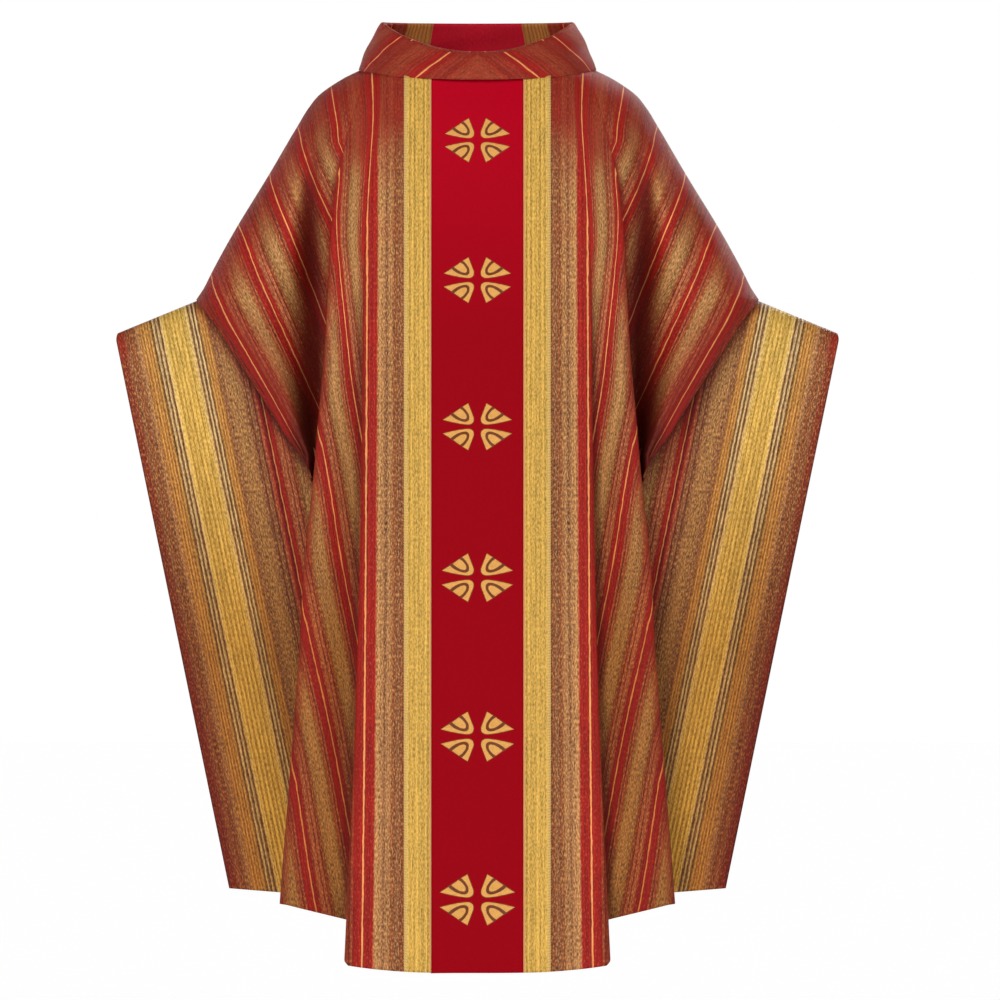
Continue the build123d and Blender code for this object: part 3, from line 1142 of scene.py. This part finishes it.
def raised_patch(work, layer, outline, base, height, round_off, to_surface, material, spin):
    """A padded patch of stitches: walls, a rounded shoulder and a filled top."""
    rings = [
        (np.array(outline), base),
        (np.array(outline), base + 0.5 * height),
        (inset(outline, 0.35 * round_off), base + 0.85 * height),
        (inset(outline, round_off), base + height),
    ]
    rows = []
    for ring, lift in rings:
        rows.append([work.verts.new(to_surface(x, z, lift)) for x, z in ring])
    spots = {v: ring[i] for row, (ring, _) in zip(rows, rings) for i, v in enumerate(row)}
    faces = []
    count = len(outline)
    for low, high in zip(rows, rows[1:]):
        for i in range(count):
            j = (i + 1) % count
            faces.append(work.faces.new((low[i], low[j], high[j], high[i])))
    faces.append(work.faces.new(rows[-1]))
    faces.append(work.faces.new(rows[0][::-1]))
    cos, sin = math.cos(spin), math.sin(spin)
    for face in faces:
        face.material_index = material
        face.smooth = len(face.verts) == 4
        for loop in face.loops:
            x, z = spots[loop.vert]
            loop[layer].uv = ((x * cos + z * sin) * MM, (z * cos - x * sin) * MM)


CROSS_BOXES = [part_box(f"front_cross_{i}") for i in range(1, 7)]
PETAL_SPAN = 0.090  # across both petals, as drawn above
STITCH_SPIN = 0.55  # turn of the stitches in a tongue


def make_cross(half, number):
    """Four petals, each a dark patch with its tongue and its outer band on top; the dark patch shows as
    brown thread in the groove, and round the petal's outside as a thin painted shadow.
    """
    low, high = CROSS_BOXES[number]
    drop, size = -(low[2] + high[2]) / 2, 2 * high[0] / PETAL_SPAN
    work = bmesh.new()
    layer = work.loops.layers.uv.new("cloth")
    for x_sign in (1, -1):
        for z_sign in (1, -1):

            def to_surface(x, z, lift):
                px, pz = x * x_sign * size * MM, z * z_sign * size * MM
                depth = float(panel_depth(abs(px), drop - pz)) + lift * MM / half.share
                return half.points(px, depth, drop - pz)[0]

            for outline, height, round_off, material, spin in (
                # The dark patch, 0.7 mm wider than the petal: brown thread in the groove, and a thin
                # painted shadow round the edge.
                (inset(petal_points(), -0.7), 0.35, 0.3, 1, STITCH_SPIN),
                (tongue_points(0.0), 1.0, 0.8, 0, STITCH_SPIN),
                (band_points(), 1.0, 0.8, 0, STITCH_SPIN + 1.1),
            ):
                raised_patch(work, layer, outline, 1.9, height, round_off, to_surface, material, spin)
    bmesh.ops.recalc_face_normals(work, faces=work.faces)
    bmesh.ops.triangulate(work, faces=[f for f in work.faces if len(f.verts) > 4])
    mesh = bpy.data.meshes.new(f"{half.name}_embroidered_cross_{number + 1}")
    work.to_mesh(mesh)
    work.free()
    piece = link(mesh.name, mesh)
    finish_piece(piece, thread, "gold_thread", f"{half.name}_cross_{number + 1}")
    piece.data.materials.append(dark_thread)
    return piece


# ---- collar
COLLAR_CENTRE = -0.004  # y
COLLAR_SIDES = 220
ROLL_SEAM = 0.34  # share of the rolled top where the outer cloth ends


def collar_axes(z, inset_by):
    """Half the collar's width and depth at a height."""
    return 0.1625 - 0.40 * z - inset_by, 0.101 - 0.24 * z - inset_by


def collar_top(y):
    """Height of the collar's top edge: level behind, dipping to the front."""
    share = np.clip(y / -0.095, 0, 1)
    return COLLAR_TOP - (COLLAR_TOP - 0.023) * share**1.75


def collar_foot(y):
    return 0.0045 + np.where(y < 0, 0.157, 0.03) * y


def collar_row(angle, z, inset_by, puff=0.0):
    a, b = collar_axes(z, inset_by)
    x = (a + puff) * np.sin(angle)
    y = COLLAR_CENTRE - (b + puff) * np.cos(angle)
    return x, y


def collar_surface(profile):
    """Rows of points; profile gives (share of height, inset, extra rise, puff) down the band."""
    angle = np.linspace(-math.pi, math.pi, COLLAR_SIDES + 1)
    rows = []
    for share, inset_by, rise, puff in profile:
        x, y = collar_row(angle, 0.03, inset_by)
        for _ in range(3):
            z = mix(collar_foot(y), collar_top(y), share) + rise
            wave = 0.0009 * np.sin(5 * angle + 9 * share) * np.sin(math.pi * share)
            x, y = collar_row(angle, z, inset_by, puff + wave)
        rows.append(np.stack([x, y, z], axis=-1))
    return angle, np.array(rows)


def collar_object(name, profile, around_zero, lean, thickness, offset, reach=0.128):
    """A band of the collar.

    reach turns the angle from around_zero into a distance along the cloth. Outside it is set
    longer than the collar's own radius, so the stripes there lie closer than in the cloth.
    """
    angle, rows = collar_surface(profile)
    arc_length = np.abs(angle - around_zero)
    arc_length = np.minimum(arc_length, 2 * math.pi - arc_length) * reach
    step = np.linalg.norm(np.diff(rows, axis=0), axis=2)
    along = np.concatenate([np.zeros((1, rows.shape[1])), np.cumsum(step, axis=0)])
    u = arc_length[None, :] * math.cos(lean) + along * math.sin(lean) + offset
    v = along * math.cos(lean) - arc_length[None, :] * math.sin(lean)
    faces = grid_faces(*u.shape)
    flat = np.stack([u, v], axis=-1).reshape(-1, 2)
    return mesh_object(name, rows.reshape(-1, 3), faces, flat, thickness)


def roll_profile(start, end):
    """Part of the way over the collar's rolled top, from 0 outside to 1 inside."""
    steps = []
    for t in np.linspace(start, end, 5):
        turn = math.pi * t
        steps.append((1.0, 0.0031 * (1 - math.cos(turn)), 0.0032 * math.sin(turn) - 0.001, 0.0))
    return steps


def outer_profile():
    """Up the outside and on to the rolled top."""
    steps = []
    for s in np.linspace(0, 0.97, 14):
        steps.append((s, 0.0, 0.0, 0.0024 * math.sin(math.pi * s) + 0.0042 * (1 - s)))
    return steps + roll_profile(0.1, ROLL_SEAM)


def inner_profile():
    return [(s, 0.0032, -0.001, 0.0016 * (1 - s)) for s in np.linspace(0.04, 0.96, 12)]


def lining_profile():
    down = [(s, 0.0063, -0.001, 0.0) for s in np.linspace(0.97, 0.08, 13)]
    return roll_profile(ROLL_SEAM, 1.0) + down


def make_collar():
    start = FIRST_LINE + 0.021
    bias = math.radians(48)
    outer = collar_object("collar_cloth", outer_profile(), 0.0, bias, 0.0011, start, reach=0.167)
    finish_piece(outer, stripes, "striped_lurex", "collar_outer")
    lining = collar_object("collar_inside", lining_profile(), math.pi, 0.0, 0.0009, 0.0)
    finish_piece(lining, lining_stripes, "striped_lurex", "collar_lining")
    core = collar_object("collar_interlining", inner_profile(), 0.0, 0.0, 0.0009, 0.0)
    finish_piece(core, stiffening, "interlining", "collar_stiffening")
    return outer, lining, core


# ---- facings and tapes, inside
FACING = 0.025  # width
FACING_THICKNESS = 0.0008
BEHIND = 0.0022  # how far a facing lies behind the cloth's outside


def tape_strip(name, grid, half, node):
    piece = build_mesh(name, [grid], half, FACING_THICKNESS)
    return finish_piece(piece, tape, "lining", node)


def band_along(columns, width, half, inward):
    """A strip inside the hem of some columns of the cloth."""
    layers = []
    for column in columns:
        d = column.hem - 0.003 - width * np.linspace(0, 1, 6)
        x, depth, u = (np.broadcast_to(a, d.shape) for a in column.place(d))
        layers.append(np.stack([x, depth - inward / half.share, d, u]))
    return np.stack(layers, axis=2)


def both_sides(grid):
    """The grid and its mirror image, joined at the centre line."""
    mirror = grid[:, :, :0:-1].copy()
    mirror[0] *= -1
    return np.concatenate([mirror, grid], axis=2)


def make_hem_facing(half):
    grid = both_sides(band_along(panel_columns(24)[:23], FACING, half, BEHIND))
    return tape_strip(f"{half.name}_hem_band", grid, half, f"{half.name}_hem_facing")


def make_sleeve_facing(half):
    d = np.linspace(WING_TOP_DROP + 0.05, WING_HEM[1] - 0.004, 90)[:, None]
    x = wing_edge_x(d) - 0.003 - FACING * np.linspace(0, 1, 6)[None, :]
    d = np.broadcast_to(d, x.shape)
    depth = wing_depth(x, d) - BEHIND / half.share
    grid = np.stack([x, depth, d, x])
    return tape_strip(half.label("sleeve_band"), grid, half, half.label("sleeve_facing"))


def make_shoulder_tape(half):
    """The stay tape, hanging just under the fold from the neck to the wing's corner."""
    top = [(NECK_HALF + 0.006, 0.006), (SHOULDER[0] - 0.002, SHOULDER[1] + 0.004)]
    top += [(ELBOW[0] - 0.003, ELBOW[1] + 0.003), (WING_X - 0.016, WING_TOP_DROP - 0.003)]
    spots = np.array(top)
    along = np.concatenate([[0], np.cumsum(np.linalg.norm(np.diff(spots, axis=0), axis=1))])
    at = np.linspace(0, along[-1], 90)
    x, d = (np.interp(at, along, spots[:, k])[:, None] for k in (0, 1))
    down = 0.015 * np.linspace(0, 1, 4)[None, :]
    x, d = x - 0.25 * down, d + down
    grid = np.stack([x, np.full(x.shape, 0.0004), d, x])
    return tape_strip(f"shoulder_stay_tape_{half.side}", grid, half, f"shoulder_tape_{half.side}")


def make_quarter(half):
    body, wing = make_body(half), make_wing(half)
    beading = make_beading(half)
    make_galloon(half)
    make_sleeve_facing(half)


def make_centre(half):
    crosses = [make_cross(half, i) for i in range(len(CROSS_BOXES))]
    make_orphrey(half)
    make_hem_facing(half)


for name in ("front", "back"):
    for side in ("left", "right"):
        if name == "front":
            make_shoulder_tape(Half(name, side))
        make_quarter(Half(name, side))
    make_centre(Half(name, "left"))
outer_collar, inner_collar, collar_core = make_collar()
seam_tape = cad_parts["neck_seam_tape"]
seam_tape.data.materials.clear()
seam_tape.data.materials.append(tape)


# ---- stage, light and camera
AMBIENT, BACKDROP = 0.17, 1.0  # strength of the world as light, and as seen
SENSOR = 36


def make_stage():
    bpy.ops.mesh.primitive_plane_add(size=160, location=(0, 0, cad_box[0][2] - 0.16))
    floor = bpy.context.object
    floor.name = "floor"
    nodes = Nodes("pale_floor")
    nodes.set(
        base_color=(0.5, 0.5, 0.5, 1),
        roughness=0.9,
        specular_ior_level=0.0,
        emission_color=(1, 1, 1, 1),
        emission_strength=0.62,
    )
    floor.data.materials.append(nodes.material)


def sun(name, towards, strength, angle):
    """Light from one direction, soft as from a wide panel."""
    light = bpy.data.lights.new(name, "SUN")
    light.energy, light.angle = strength, math.radians(angle)
    lamp = link(name, light)
    lamp.rotation_euler = Vector(towards).to_track_quat("-Z", "Y").to_euler()


def make_lights():
    sun("key", (0.35, 1.0, -0.60), 1.75, 25)
    sun("fill", (-0.6, 1.0, -0.15), 0.65, 40)
    sun("back_key", (-0.5, -1.0, -0.60), 1.6, 25)
    sun("back_fill", (0.7, -1.0, -0.15), 0.6, 40)
    world = bpy.data.worlds.new("studio")
    bpy.context.scene.world = world
    world.use_nodes = True
    tree = world.node_tree
    path = tree.nodes.new("ShaderNodeLightPath")
    seen = tree.nodes.new("ShaderNodeMapRange")
    seen.inputs["To Min"].default_value = AMBIENT
    seen.inputs["To Max"].default_value = BACKDROP
    tree.links.new(path.outputs["Is Camera Ray"], seen.inputs["Value"])
    tree.links.new(seen.outputs[0], tree.nodes["Background"].inputs["Strength"])
    tree.nodes["Background"].inputs["Color"].default_value = (1, 1, 1, 1)


def make_camera():
    """A long lens, level with the middle of the garment."""
    width_seen, distance = 1.400, 25.0
    camera = bpy.data.cameras.new("camera")
    camera.sensor_width = SENSOR
    camera.lens = SENSOR * distance / width_seen
    camera.clip_end = 60
    holder = link("camera", camera)
    middle = (cad_box[0][2] + cad_box[1][2]) / 2 - 0.004
    holder.location = (0.0315, -distance, middle)
    holder.rotation_euler = (math.pi / 2, 0, 0)
    bpy.context.scene.camera = holder


make_stage()
make_lights()
make_camera()
bpy.context.scene.view_settings.view_transform = "Standard"
bpy.context.view_layer.update()
